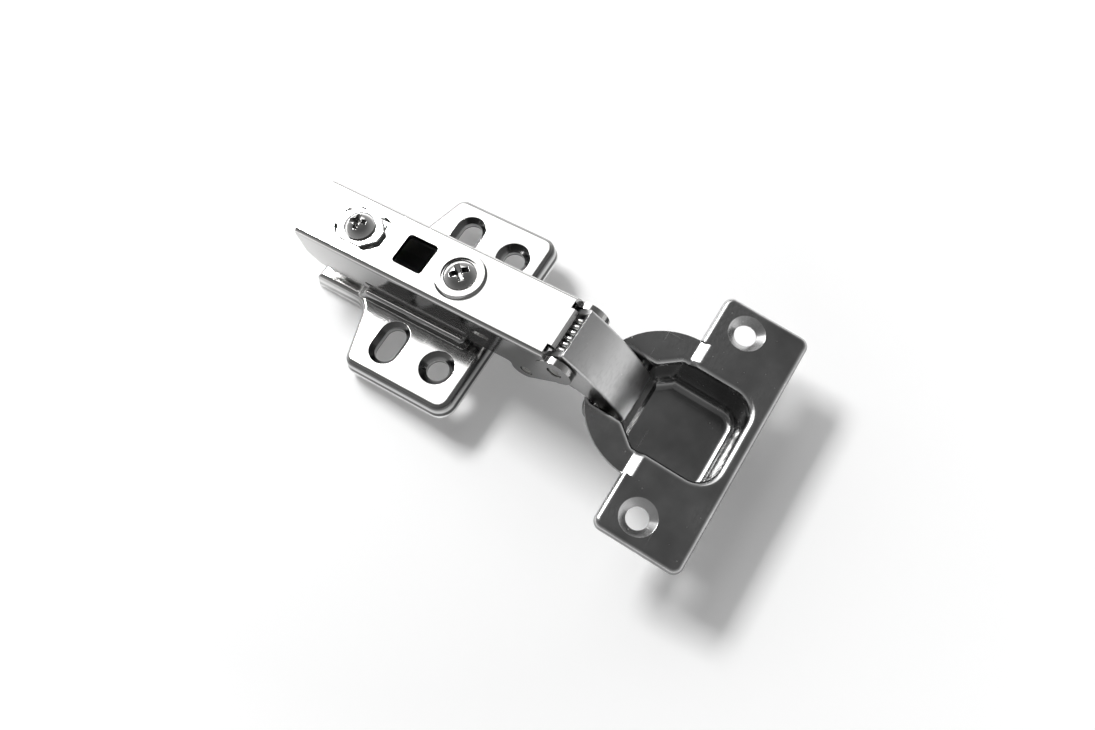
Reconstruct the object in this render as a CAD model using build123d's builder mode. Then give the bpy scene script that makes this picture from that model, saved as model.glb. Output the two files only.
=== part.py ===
from build123d import *
from math import atan2, cos, degrees, radians, sin, tan
import os

# Concealed cup hinge for a cabinet door, clip-on pattern, shown fully open.
# Frame: origin on the cabinet side at the middle of the two slotted plate holes,
# +X towards the door, +Y along the cabinet edge, +Z out of the cabinet side.

# Clearances
turn_clearance = 0.05          # radial, between a pin and an eye that turns on it
held_clearance = 0.02          # radial, between a pin and the wall that holds it
side_gap = 0.3                 # between the outer link and the arm walls
slide_gap = 0.1                # between faces that slide on each other
carrier_gap = 0.4              # between the carrier walls and the arm walls
free_gap = 0.3                 # round a part that passes another without touching
pick_margin = 0.1              # half of the band in which edges are picked for rounding
facing_up = 0.5                # least upward part of the normal of a face taken as an upper side

# Mounting plate, one drawn sheet
plate_sheet = 1.3
wing_height = 4.0
wing_half = 25.25
wing_front = 21.1
wing_rear = -7.2
wing_root_rear = -11.9
wing_corner = 4.0
wing_rear_corner = 3.0
tail_half = 10.3
tail_rear = -26.4
tail_corner = 0.8
tail_blend = 4.0
skirt_draft = 10.0
plate_bend = 1.3
plateau_height = 7.2
plateau_half = 9.4
plateau_front = 16.0
plateau_rear = -11.2
plateau_drop = 2.6
plateau_bend = 0.9
plateau_round = 1.8
hole_line = 16.0               # both hole pairs stand this far either side of the middle
slot_width = 5.2
slot_length = 9.0
round_hole_x = 13.1
round_hole = 5.2
slot_sink = 7.5
round_sink = 8.3
plate_sink_angle = 90.0
dimple_depth = 2.6
latch_window_width = 6.6
latch_window_height = 1.9
latch_window_low = 1.0

# Front hook on the plate and the cross pin that it holds
hook_half = 3.3
hook_sheet = 1.4
hook_pin_x = 14.4
hook_pin_radius = 1.0
hook_reach = 1.3

# Arm, a folded channel
arm_sheet = 1.4
arm_width = 15.8
arm_top = 19.2
arm_rear = -28.0
arm_rear_step = 0.6
arm_rear_knee = 10.9
arm_rear_foot = -24.4
arm_foot_cut = 1.2
arm_front = 37.3
arm_bottom = 7.6
arm_bend = 1.2
tongue_front = 39.07
tongue_half = 4.8
tongue_curl = 0.8
ear_radius = 4.15
lug_radius = 2.8
lug_x = 31.2
lug_z = 6.2
lug_fillet = 1.2
pad_radius = 4.6
pad_height = 0.15
square_hole_x = 0.2
square_hole_length = 8.0
square_hole_width = 7.8
square_hole_corner = 1.0
window_x = 21.4
window_z = 13.6
window_length = 4.4
window_height = 1.8
vent_x = -9.5
vent_z = 9.8
vent_length = 2.6
vent_height = 1.0

# Depth screw, its serrated washer and their bed in the arm
bed_x = -14.0
bed_length = 13.85
bed_width = 9.5
bed_corner = 4.0
bed_depth = 1.0
bed_floor = 1.0
bed_slot_width = 5.3
bed_slot_length = 9.8
tooth_pitch = 1.1
tooth_depth = 0.3
washer_length = 11.6
washer_width = 8.8
washer_cut = 3.0
washer_thickness = 1.05
depth_screw_x = -15.0
depth_screw_radius = 2.0
depth_head_radius = 3.6
depth_head_height = 2.4
depth_screw_length = 9.5

# Side screw and its collar, which slides in a slot of the arm
side_screw_x = 12.2
collar_radius = 5.5
collar_foot = 5.9
collar_top_height = 1.0
collar_barrel = 3.2
collar_lip = 4.3
collar_lip_sheet = 0.55
collar_seat = 0.4
side_head_radius = 4.07
side_head_height = 0.85
side_screw_radius = 2.25
side_screw_length = 8.0
depth_travel = 2.0
neck_room = 0.35
recess_width = 1.2
recess_depth = 1.3
recess_taper = 12.0
side_recess_reach = 2.9
side_recess_turn = 47.0
depth_recess_reach = 2.2
depth_recess_turn = 17.0
point_cut = 0.4                # chamfer at a screw's end, across
point_rise = 0.6               # chamfer at a screw's end, along

# Clip carrier inside the arm
carrier_sheet = 1.5
carrier_top = 16.6
carrier_front = 19.0
carrier_rear = -24.8
carrier_foot_front = -14.4
neck_radius = 4.2
neck_depth = 3.5
carrier_window_rear = -6.0
carrier_window_front = 2.7
carrier_window_width = 8.0

# Release lever, its pin and leaf spring
lever_pin_x = -22.5
lever_pin_z = 11.0
lever_pin_radius = 1.0
lever_half = 3.0
lever_boss = 2.0
lever_sheet = 1.2
lever_tab_z = 12.9
lever_tab_end = 1.0
lever_waist = 1.0
claw_tip_height = 0.95
leaf_thickness = 0.5
leaf_half = 2.0
leaf_bend = 2.0
leaf_room = 2.2

# Pins of the linkage
front_pin_x = 40.2
front_pin_z = 13.9
front_pin_radius = 1.75
rear_pin_x = 32.2
rear_pin_z = 6.7
rear_pin_radius = 1.5
cup_pin_radius = 1.2
pin_edge = 0.2
pin_sink = 0.3                 # how far the pin ends lie below the arm walls

# Outer link
link_sheet = 1.2
outer_link_length = 17.77
outer_link_angle = 46.3        # below the arm's line
outer_eye = 3.7
outer_belly = 2.8
outer_curl = 2.8
outer_curl_start = 68.0
outer_curl_end = 50.0
outer_cup_eye = 2.15
outer_edge_back = 3.2
outer_edge_rise = 5.2
outer_bend = 0.5

# Inner link
inner_width = 8.6
inner_cup_eye = 2.2
inner_wall = 1.2
eye_room = 1.15                # lengthwise room round the rear pin, for the fold
eye_side = 0.55                # sideways room round the rear pin
crank_back = -0.25             # upper edge of the cranked half, below the pins' line
crank_depth = 2.35
crank_end = 5.6
crank_slope = 1.0              # half the run of the slope between crank and deep end
inner_low = 3.1

# Closing spring on the front pin
spring_wire = 1.3
spring_radius = 3.1
spring_turns = 5
spring_pitch = 1.55
spring_leg = 7.0
sleeve_wall = 0.5

# Cup, drawn from sheet; u runs away from the arm, v along the door edge, w out of the door
cup_sheet = 1.0
cup_tilt = 12.5
cup_radius = 17.5
cup_pin_u = -8.9
cup_pin_w = -6.6
back_pin_u = -12.5
back_pin_w = -7.2
flange_rear = -1.0
flange_front = 19.8
flange_half = 30.3
flange_corner = 2.2
flange_rim = 1.8
flange_bend = 1.3
cup_sink_angle = 100.0
boss_draft = 30.0
screw_hole_u = 6.7
screw_hole_v = 24.0
screw_hole = 5.0
screw_sink = 8.4
crescent_drop = 1.23
joggle_start = -1.1
joggle_run = 2.0
joggle_round = 1.6
pocket_depth = 12.1
pocket_front = 16.1
pocket_half = 11.2
pocket_corner = 5.0
pocket_draft = 4.0
mouth_height = 3.1             # upright part of the pocket's walls, above the draft
throat_half = 7.4
throat_end = -15.7
facet_rear = -6.3
facet_front = -1.65
facet_round = 1.2
throat_round = 2.2
floor_fillet = 2.0
mouth_bend = 1.7
sill_level = -9.9
floor_step = 0.9
floor_step_u = -4.0
pin_leg_end = 8.9
pin_bend_start = 8.7

# Positions that follow from the sizes above
rear_eye = rear_pin_radius + eye_side + 2 * turn_clearance
arm_half = arm_width / 2
arm_inner = arm_half - arm_sheet
arm_ceiling = arm_top - arm_sheet
carrier_half = arm_inner - carrier_gap
carrier_inner = carrier_half - carrier_sheet
carrier_ceiling = carrier_top - carrier_sheet
outer_half = arm_inner - side_gap
outer_inner = outer_half - link_sheet
inner_half = inner_width / 2
pin_half = arm_half - pin_sink
bed_level = arm_top - bed_depth

front_pin = Vector(front_pin_x, 0, front_pin_z)
rear_pin = Vector(rear_pin_x, 0, rear_pin_z)
link_dir = Vector(cos(radians(outer_link_angle)), 0, -sin(radians(outer_link_angle)))
cup_pin_point = front_pin + link_dir * outer_link_length
cup_u = Vector(cos(radians(cup_tilt)), 0, -sin(radians(cup_tilt)))
cup_w = Vector(sin(radians(cup_tilt)), 0, cos(radians(cup_tilt)))
cup_origin = cup_pin_point - cup_u * cup_pin_u - cup_w * cup_pin_w
back_pin_point = cup_origin + cup_u * back_pin_u + cup_w * back_pin_w
joggle_blend = joggle_round * tan(atan2(crescent_drop, joggle_run) / 2)
joggle_low = joggle_start + joggle_blend
joggle_end = joggle_low + joggle_run + joggle_blend
inner_span = rear_pin - back_pin_point
inner_length = inner_span.length

link_plane = Plane(origin=front_pin, x_dir=link_dir, z_dir=(0, -1, 0))
inner_plane = Plane(origin=back_pin_point, x_dir=inner_span, z_dir=(0, 1, 0))
cup_plane = Plane(origin=cup_origin, x_dir=cup_u, z_dir=cup_w)
cup_side = Plane(origin=cup_origin, x_dir=cup_u, z_dir=(0, -1, 0))


def at(x, z):
    return Location((x, 0, z), (90, 0, 0))


def cross_pin(x, z, radius, half_length):
    # A round pin along Y with broken end edges.
    with BuildPart() as pin:
        with Locations(at(x, z)):
            Cylinder(radius, 2 * half_length)
        chamfer(pin.edges().filter_by(GeomType.CIRCLE), pin_edge)
    return pin.part


def screw_plane(x):
    return Plane(origin=(x, 0, 0), x_dir=(1, 0, 0), z_dir=(0, -1, 0))


def cross_recess(x, top, reach, turn):
    # The cross-shaped driver recess, narrowing downwards.
    with BuildPart() as cutter:
        with BuildSketch(Plane(origin=(x, 0, top))):
            Rectangle(2 * reach, recess_width, rotation=turn)
            Rectangle(recess_width, 2 * reach, rotation=turn)
        extrude(amount=-recess_depth, taper=recess_taper)
    return cutter.part


def ring_sector(center, outer, inner, start, end):
    # A sheet strip bent round a centre, between two angles in degrees.
    with BuildSketch() as strip:
        with BuildLine():
            rim = CenterArc(center, outer, start, end - start)
            bore = CenterArc(center, inner, start, end - start)
            Line(rim @ 0, bore @ 0)
            Line(rim @ 1, bore @ 1)
        make_face()
    return strip.sketch


# Mounting plate: the outer skin and the inner skin are the same form, one sheet apart.
def plate_skin(inset):
    bend = plate_bend - inset
    with BuildPart() as skin:
        with BuildSketch() as foot:
            with BuildLine():
                FilletPolyline(
                    (wing_front, 0),
                    (wing_front, wing_half),
                    (wing_rear, wing_half),
                    (wing_root_rear, tail_half),
                    (tail_rear, tail_half),
                    (tail_rear, 0),
                    radius=[wing_corner, wing_rear_corner, tail_blend, tail_corner],
                )
                mirror(about=Plane.XZ)
            make_face()
            if inset > 0:
                offset(amount=-inset, mode=Mode.REPLACE)
        extrude(amount=wing_height - inset, taper=skirt_draft)
        if bend > 0:
            fillet(skin.faces().sort_by(Axis.Z)[-1].edges(), bend)
    return skin.part


def plateau_skin(inset):
    top = plateau_height - inset
    with BuildPart() as skin:
        with BuildSketch(Plane.XZ) as side:
            with BuildLine():
                FilletPolyline(
                    (plateau_front + plateau_bend / 2 - inset, wing_height - plate_sheet - inset),
                    (plateau_front - inset, top),
                    (plateau_rear + inset, top),
                    (plateau_rear - plateau_drop + inset, wing_height - inset),
                    (plateau_rear - 3 * plateau_drop + inset, wing_height - inset),
                    radius=[plateau_bend, plateau_round, plateau_round],
                )
                Polyline(
                    (plateau_front + plateau_bend / 2 - inset, wing_height - plate_sheet - inset),
                    (plateau_rear - 3 * plateau_drop + inset, wing_height - plate_sheet - inset),
                    (plateau_rear - 3 * plateau_drop + inset, wing_height - inset),
                )
            make_face()
        extrude(amount=plateau_half - inset, both=True)
        if inset == 0:
            ridge = skin.edges().filter_by_position(
                Axis.Z, wing_height + 2 * pick_margin, plateau_height + pick_margin
            )
            side_edges = ridge.group_by(Axis.Y)
            fillet(side_edges[0] + side_edges[-1], plateau_bend)
    return skin.part


# Slots and round holes sit in dimples pressed down from the wings.
with BuildPart() as plate:
    add(plate_skin(0))
    add(plateau_skin(0))
    add(plate_skin(plate_sheet), mode=Mode.SUBTRACT)
    add(plateau_skin(plate_sheet), mode=Mode.SUBTRACT)
    with BuildSketch(Plane.XY.offset(wing_height - plate_sheet)):
        with Locations((0, hole_line), (0, -hole_line)):
            SlotOverall(slot_length + slot_sink - slot_width, slot_sink, rotation=90)
        with Locations((round_hole_x, hole_line), (round_hole_x, -hole_line)):
            Circle(round_sink / 2)
    extrude(amount=plate_sheet - dimple_depth, taper=skirt_draft)
    with BuildSketch(Plane.XY.offset(wing_height)):
        with Locations((0, hole_line), (0, -hole_line)):
            SlotOverall(slot_length + slot_sink - slot_width, slot_sink, rotation=90)
    extrude(amount=-(slot_sink - slot_width) / 2, taper=plate_sink_angle / 2, mode=Mode.SUBTRACT)
    with BuildSketch(Plane.XY.offset(wing_height)):
        with Locations((round_hole_x, hole_line), (round_hole_x, -hole_line)):
            Circle(round_sink / 2)
    extrude(amount=-(round_sink - round_hole) / 2, taper=plate_sink_angle / 2, mode=Mode.SUBTRACT)
    with BuildSketch(Plane.XY.offset(wing_height)):
        with Locations((0, hole_line), (0, -hole_line)):
            SlotOverall(slot_length, slot_width, rotation=90)
        with Locations((round_hole_x, hole_line), (round_hole_x, -hole_line)):
            Circle(round_hole / 2)
    extrude(amount=-wing_height, mode=Mode.SUBTRACT)
    with Locations((tail_rear, 0, latch_window_low + latch_window_height / 2)):
        Box(4 * plate_sheet, latch_window_width, latch_window_height, mode=Mode.SUBTRACT)
    # Front hook, open towards the door, over the carrier's cross pin.
    hook_under = plateau_height + 2 * hook_pin_radius + turn_clearance
    hook_heel = hook_pin_x - hook_pin_radius - slide_gap
    with BuildSketch(Plane.XZ):
        with BuildLine():
            FilletPolyline(
                (hook_heel - hook_sheet, plateau_height - plate_sheet / 2),
                (hook_heel - hook_sheet, hook_under + hook_sheet),
                (hook_pin_x + hook_reach, hook_under + hook_sheet),
                (hook_pin_x + hook_reach, hook_under),
                radius=[hook_sheet, hook_sheet / 3],
            )
            Polyline(
                (hook_pin_x + hook_reach, hook_under),
                (hook_heel, hook_under),
                (hook_heel, plateau_height - plate_sheet / 2),
                (hook_heel - hook_sheet, plateau_height - plate_sheet / 2),
            )
        make_face()
    extrude(amount=hook_half, both=True)
plate.part.label = "mounting_plate"


# Clip carrier: an inner channel that hooks on the plate and takes both screws.
hook_pin_z = plateau_height + hook_pin_radius
with BuildPart() as carrier:
    with BuildSketch(Plane.XZ):
        Polygon(
            (carrier_rear, wing_height + free_gap),
            (carrier_foot_front, wing_height + free_gap),
            (carrier_foot_front + free_gap, plateau_height),
            (carrier_front, plateau_height),
            (carrier_front, carrier_top - 2 * carrier_sheet),
            (carrier_front - carrier_sheet, carrier_top),
            (carrier_rear, carrier_top),
            align=None,
        )
    extrude(amount=carrier_half, both=True)
    fillet(carrier.faces().sort_by(Axis.Z)[-1].edges().filter_by(Axis.X), carrier_sheet / 2)
    with BuildSketch(Plane.XY):
        with Locations(((carrier_rear + carrier_front) / 2, 0)):
            Rectangle(2 * (carrier_front - carrier_rear), 2 * carrier_inner)
    extrude(amount=carrier_ceiling, mode=Mode.SUBTRACT)
    # Drawn necks for the two threads.
    with BuildSketch(Plane.XY.offset(carrier_ceiling)):
        with Locations((side_screw_x, 0), (depth_screw_x, 0)):
            Circle(neck_radius)
    extrude(amount=-neck_depth)
    with BuildSketch(Plane.XY.offset(carrier_top)):
        with Locations((side_screw_x, 0)):
            Circle(side_screw_radius + neck_room)
        with Locations((depth_screw_x, 0)):
            Circle(depth_screw_radius + turn_clearance)
        with Locations(((carrier_window_front + carrier_window_rear) / 2, 0)):
            RectangleRounded(
                carrier_window_front - carrier_window_rear, carrier_window_width, square_hole_corner
            )
    extrude(amount=-2 * carrier_sheet - neck_depth, mode=Mode.SUBTRACT)
    with Locations(at(hook_pin_x, hook_pin_z)):
        Cylinder(hook_pin_radius + held_clearance, arm_width, mode=Mode.SUBTRACT)
    with Locations(at(lever_pin_x, lever_pin_z)):
        Cylinder(lever_pin_radius + held_clearance, arm_width, mode=Mode.SUBTRACT)
carrier.part.label = "clip_carrier"

hook_pin = cross_pin(hook_pin_x, hook_pin_z, hook_pin_radius, carrier_half)
hook_pin.label = "front_hook_pin"
lever_pin = cross_pin(lever_pin_x, lever_pin_z, lever_pin_radius, carrier_half)
lever_pin.label = "lever_pin"


# Release lever: its hook reaches through the window in the tail's rear wall.
lever_outer = arm_rear + slide_gap
claw_low = latch_window_low + free_gap
claw_tip = tail_rear + plate_sheet
with BuildPart() as lever:
    with BuildSketch(Plane.XZ):
        Polygon(
            (lever_pin_x - lever_boss, lever_pin_z - lever_waist),
            (lever_outer + lever_sheet, lever_pin_z - lever_boss - lever_waist),
            (lever_outer + lever_sheet, claw_low + lever_sheet),
            (claw_tip, claw_low + claw_tip_height),
            (claw_tip, claw_low),
            (lever_outer, claw_low),
            (lever_outer, lever_pin_z - lever_boss),
            (lever_pin_x - lever_boss + pin_edge, lever_pin_z + lever_waist),
            align=None,
        )
        Polygon(
            (lever_pin_x, lever_pin_z),
            (lever_pin_x, lever_pin_z + lever_boss),
            (lever_outer + lever_tab_end, lever_tab_z + lever_sheet),
            (lever_outer + lever_tab_end, lever_tab_z),
            align=None,
        )
        with Locations((lever_pin_x, lever_pin_z)):
            Circle(lever_boss)
            Circle(lever_pin_radius + turn_clearance, mode=Mode.SUBTRACT)
    extrude(amount=lever_half, both=True)
lever.part.label = "release_lever"

# Leaf spring from the carrier's ceiling down onto the lever's tab.
leaf_top = carrier_ceiling
leaf_end = lever_outer + leaf_room
leaf_low = lever_tab_z + lever_sheet + free_gap
with BuildPart() as leaf:
    with BuildSketch(Plane.XZ):
        with BuildLine():
            leaf_line = FilletPolyline(
                (depth_screw_x - neck_radius - free_gap, leaf_top - leaf_thickness / 2),
                (lever_pin_x, leaf_top - leaf_thickness / 2),
                (leaf_end, leaf_low + leaf_thickness / 2),
                radius=leaf_bend,
            )
        trace(leaf_line, leaf_thickness)
    extrude(amount=leaf_half, both=True)
leaf.part.label = "lever_spring"


# Depth screw: pan head with a cross recess over the serrated washer.
washer_base = bed_level + slide_gap
washer_top = washer_base + washer_thickness
depth_head_base = washer_top + free_gap / 2
with BuildPart() as depth_screw:
    with BuildSketch(screw_plane(depth_screw_x)):
        with BuildLine():
            Polyline(
                (0, depth_head_base + depth_head_height),
                (0, depth_head_base - depth_screw_length),
                (depth_screw_radius - point_cut, depth_head_base - depth_screw_length),
                (depth_screw_radius, depth_head_base - depth_screw_length + point_rise),
                (depth_screw_radius, depth_head_base),
                (depth_head_radius, depth_head_base),
                (depth_head_radius, depth_head_base + depth_head_height / 3),
            )
            TangentArc(
                (0, depth_head_base + depth_head_height),
                (depth_head_radius, depth_head_base + depth_head_height / 3),
                tangent=(1, 0),
            )
        make_face()
    revolve(axis=Axis((depth_screw_x, 0, 0), (0, 0, 1)))
    depth_top = depth_head_base + depth_head_height
    depth_recess = cross_recess(depth_screw_x, depth_top, depth_recess_reach, depth_recess_turn)
    add(depth_recess, mode=Mode.SUBTRACT)
depth_screw.part.label = "depth_screw"

with BuildPart() as washer:
    with BuildSketch(Plane(origin=(depth_screw_x, 0, washer_base))) as blank:
        Rectangle(washer_length, washer_width)
        chamfer(blank.vertices(), washer_cut)
        Circle(depth_screw_radius + 2 * free_gap, mode=Mode.SUBTRACT)
    extrude(amount=washer_thickness)
    rim = washer.faces().sort_by(Axis.Z)[-1].outer_wire().edges()
    chamfer(rim, pin_edge)
washer.part.label = "serrated_washer"


# Side screw in its collar: the collar is riveted through a slot of the arm.
collar_base = arm_top + slide_gap
head_seat = collar_base + collar_seat
lip_top = arm_ceiling - slide_gap
with BuildPart() as collar:
    with BuildSketch(screw_plane(side_screw_x)):
        Polygon(
            (side_screw_radius + turn_clearance, lip_top - collar_lip_sheet),
            (collar_lip, lip_top - collar_lip_sheet),
            (collar_lip, lip_top),
            (collar_barrel, lip_top),
            (collar_barrel, collar_base),
            (collar_foot, collar_base),
            (collar_radius, arm_top + collar_top_height),
            (side_head_radius + slide_gap, arm_top + collar_top_height),
            (side_head_radius + slide_gap, head_seat),
            (side_screw_radius + turn_clearance, head_seat),
            align=None,
        )
    revolve(axis=Axis((side_screw_x, 0, 0), (0, 0, 1)))
collar.part.label = "side_screw_collar"

side_base = head_seat + turn_clearance
side_end = side_base + side_head_height - side_screw_length
with BuildPart() as side_screw:
    with BuildSketch(screw_plane(side_screw_x)):
        with BuildLine():
            Polyline(
                (0, side_base + side_head_height),
                (0, side_end),
                (side_screw_radius - point_cut, side_end),
                (side_screw_radius, side_end + point_rise),
                (side_screw_radius, side_base),
                (side_head_radius, side_base),
                (side_head_radius, side_base + side_head_height / 2),
            )
            TangentArc(
                (0, side_base + side_head_height),
                (side_head_radius, side_base + side_head_height / 2),
                tangent=(1, 0),
            )
        make_face()
    revolve(axis=Axis((side_screw_x, 0, 0), (0, 0, 1)))
    side_top = side_base + side_head_height
    side_recess = cross_recess(side_screw_x, side_top, side_recess_reach, side_recess_turn)
    add(side_recess, mode=Mode.SUBTRACT)
side_screw.part.label = "side_screw"


# Arm: the folded channel, with a lug for the rear pin and round ears for the front pin.
with BuildSketch() as arm_side:
    Polygon(
        (arm_rear, arm_top),
        (arm_rear, arm_top - arm_sheet),
        (arm_rear + arm_rear_step, arm_rear_knee),
        (arm_rear_foot - arm_foot_cut, arm_bottom + arm_foot_cut),
        (arm_rear_foot, arm_bottom),
        (lug_x, arm_bottom),
        (front_pin_x, front_pin_z),
        (arm_front, arm_top),
        align=None,
    )
with BuildSketch() as arm_nose:
    with Locations((lug_x, lug_z)):
        Circle(lug_radius)
    with Locations((front_pin_x, front_pin_z)):
        Circle(ear_radius)
    make_hull()
with BuildSketch() as ear_pad:
    with Locations((front_pin_x, front_pin_z)):
        Circle(pad_radius)
    add(arm_nose.sketch, mode=Mode.INTERSECT)

with BuildPart() as arm:
    with BuildSketch(Plane.XZ):
        add(arm_side.sketch)
        add(arm_nose.sketch)
    extrude(amount=arm_half, both=True)
    heel = arm.edges().filter_by(Axis.Y).filter_by_position(
        Axis.Z, arm_bottom - pick_margin, arm_bottom + pick_margin
    ).sort_by(Axis.X)[-1]
    fillet(heel, lug_fillet)
    fillet(arm.faces().sort_by(Axis.Z)[-1].edges().filter_by(Axis.X), arm_bend)
    # Pressed pads round the front pin.
    with BuildSketch(Plane.XZ):
        add(ear_pad.sketch)
    extrude(amount=arm_half + pad_height, both=True)
    with BuildSketch(Plane.XY):
        with Locations(((arm_rear + front_pin_x) / 2, 0)):
            Rectangle(2 * (front_pin_x - arm_rear), 2 * arm_inner)
    extrude(amount=arm_ceiling, mode=Mode.SUBTRACT)
    with BuildSketch(Plane.XY):
        with Locations((arm_front + arm_width / 2, 0)):
            Rectangle(arm_width, 2 * arm_inner)
    extrude(amount=2 * arm_top, mode=Mode.SUBTRACT)
    with BuildSketch(Plane.XZ):
        Polygon(
            (arm_front - arm_sheet, arm_top),
            (tongue_front - tongue_curl, arm_top),
            (tongue_front, arm_top - tongue_curl),
            (tongue_front, arm_ceiling),
            (arm_front - arm_sheet, arm_ceiling),
            align=None,
        )
    extrude(amount=tongue_half, both=True)
    # Serrated bed for the washer, pressed down from the top.
    with BuildSketch(Plane.XY.offset(bed_level - bed_floor)):
        with Locations((bed_x, 0)):
            RectangleRounded(bed_length + 2 * bed_floor, bed_width + 2 * bed_floor, bed_corner)
    extrude(amount=bed_floor)
    with BuildSketch(Plane.XY.offset(bed_level)) as bed:
        with Locations((bed_x, 0)):
            RectangleRounded(bed_length, bed_width, bed_corner)
    extrude(amount=bed_depth, mode=Mode.SUBTRACT)
    with BuildSketch(Plane.XY.offset(bed_level - bed_floor)):
        with Locations((bed_x, 0)):
            SlotOverall(bed_slot_length, bed_slot_width)
    extrude(amount=bed_floor, mode=Mode.SUBTRACT)
    teeth = int((bed_length - bed_corner) / tooth_pitch)
    with BuildSketch(Plane.XZ.offset(-bed_width / 2 + bed_corner / 3)):
        with Locations((bed_x, bed_level)):
            with GridLocations(tooth_pitch, 0, teeth, 1):
                Polygon(
                    (-tooth_pitch / 3, 0), (tooth_pitch / 3, 0), (0, -tooth_depth), align=None
                )
    extrude(amount=bed_width - 2 * bed_corner / 3, mode=Mode.SUBTRACT)
    # Opening over the carrier window, and the hole for the collar.
    with BuildSketch(Plane.XY.offset(arm_top)):
        with Locations((square_hole_x, 0)):
            RectangleRounded(square_hole_length, square_hole_width, square_hole_corner)
        with Locations((side_screw_x + depth_travel / 2, 0)):
            SlotOverall(2 * collar_barrel + depth_travel + 2 * slide_gap, 2 * (collar_barrel + slide_gap))
    extrude(amount=-2 * arm_sheet, mode=Mode.SUBTRACT)
    with BuildSketch(Plane.XZ):
        with Locations((window_x, window_z)):
            SlotOverall(window_length, window_height)
        with Locations((vent_x, vent_z)):
            SlotOverall(vent_length, vent_height)
    extrude(amount=arm_width, both=True, mode=Mode.SUBTRACT)
    with Locations(at(front_pin_x, front_pin_z)):
        Cylinder(front_pin_radius + held_clearance, 2 * arm_width, mode=Mode.SUBTRACT)
    with Locations(at(rear_pin_x, rear_pin_z)):
        Cylinder(rear_pin_radius + held_clearance, 2 * arm_width, mode=Mode.SUBTRACT)
arm.part.label = "arm"

front_axle = cross_pin(front_pin_x, front_pin_z, front_pin_radius, pin_half)
front_axle.label = "front_pin"
rear_axle = cross_pin(rear_pin_x, rear_pin_z, rear_pin_radius, pin_half)
rear_axle.label = "rear_pin"


# Outer link: an arched web between two flanges, curled round the cup pin at its end.
curl_dir = Vector(cos(radians(outer_curl_start)), sin(radians(outer_curl_start)))
curl_point = Vector(outer_link_length, 0) + curl_dir * outer_curl
edge_point = Vector(-outer_edge_back, outer_edge_rise)
chord = curl_point - edge_point
arch = chord.dot(chord) / (2 * curl_dir.dot(chord))
arch_center = curl_point - curl_dir * arch
edge_angle = degrees(atan2(edge_point.Y - arch_center.Y, edge_point.X - arch_center.X))
back_pin_local = link_plane.to_local_coords(back_pin_point)
waist = back_pin_local.Y + cup_pin_radius + free_gap
waist_start = back_pin_local.X - cup_pin_radius - 2 * free_gap
link_web = ring_sector(arch_center, arch, arch - link_sheet, outer_curl_start, edge_angle)
link_curl = ring_sector(
    (outer_link_length, 0), outer_curl, outer_curl - link_sheet, outer_curl_end, outer_curl_start
)
with BuildSketch() as link_cheek:
    Polygon(
        (edge_point.X, edge_point.Y),
        (curl_point.X, curl_point.Y),
        (outer_link_length, 0),
        (outer_link_length - outer_cup_eye, waist),
        (waist_start, waist),
        (waist_start - outer_eye, -outer_belly),
        (0, -outer_eye),
        (-outer_eye, 0),
        align=None,
    )
    add(link_web)
    with BuildLine():
        cap = CenterArc(arch_center, arch, outer_curl_start, edge_angle - outer_curl_start)
        Line(cap @ 0, cap @ 1)
    make_face()
    with Locations((0, 0)):
        Circle(outer_eye)
    with Locations((outer_link_length, 0)):
        Circle(outer_cup_eye)
        Circle(cup_pin_radius + turn_clearance, mode=Mode.SUBTRACT)
    with Locations((0, 0)):
        Circle(front_pin_radius + turn_clearance, mode=Mode.SUBTRACT)
with BuildPart() as outer_link:
    with BuildSketch(link_plane.offset(-outer_half)):
        add(link_cheek.sketch)
    extrude(amount=link_sheet)
    with BuildSketch(link_plane.offset(outer_inner)):
        add(link_cheek.sketch)
    extrude(amount=link_sheet)
    with BuildSketch(link_plane.offset(-outer_half)):
        add(link_web)
        add(link_curl)
    extrude(amount=2 * outer_half)
    fillet(outer_link.edges().filter_by(GeomType.CIRCLE).sort_by(SortBy.RADIUS)[-2:], outer_bend)
outer_link.part.label = "outer_link"


# Inner link: a shallow channel inside the outer link, cranked below the cup pin's path.
# Its rear eye is an oblong that clears the rear pin at every angle of the fold.
with BuildSketch() as eye_bore:
    with Locations((inner_length, 0)):
        SlotOverall(2 * (rear_eye + eye_room), 2 * rear_eye, rotation=90)
with BuildSketch() as inner_cheek:
    Circle(inner_cup_eye)
    with Locations((inner_length, 0)):
        SlotOverall(
            2 * (rear_eye + eye_room + inner_wall), 2 * (rear_eye + inner_wall), rotation=90
        )
    Polygon(
        (0, crank_back),
        (crank_end, crank_back),
        (inner_length - 2 * rear_eye, rear_eye),
        (inner_length, rear_eye + eye_room),
        (inner_length, -rear_eye - eye_room),
        (inner_length - 2 * rear_eye, -inner_low),
        (crank_end + crank_slope, -inner_low),
        (crank_end - crank_slope, -crank_depth),
        (0, -inner_cup_eye),
        align=None,
    )
crank_offset = link_sheet / 3
with BuildSketch() as inner_web:
    Polygon(
        (inner_cup_eye, -crank_depth + link_sheet),
        (crank_end - crank_slope + crank_offset, -crank_depth + link_sheet),
        (crank_end + crank_slope + crank_offset, -inner_low + link_sheet),
        (inner_length - 2 * rear_eye, -inner_low + link_sheet),
        (inner_length - 2 * rear_eye, -inner_low),
        (crank_end + crank_slope, -inner_low),
        (crank_end - crank_slope, -crank_depth),
        (inner_cup_eye, -crank_depth),
        align=None,
    )
    add(inner_cheek.sketch, mode=Mode.INTERSECT)
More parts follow.
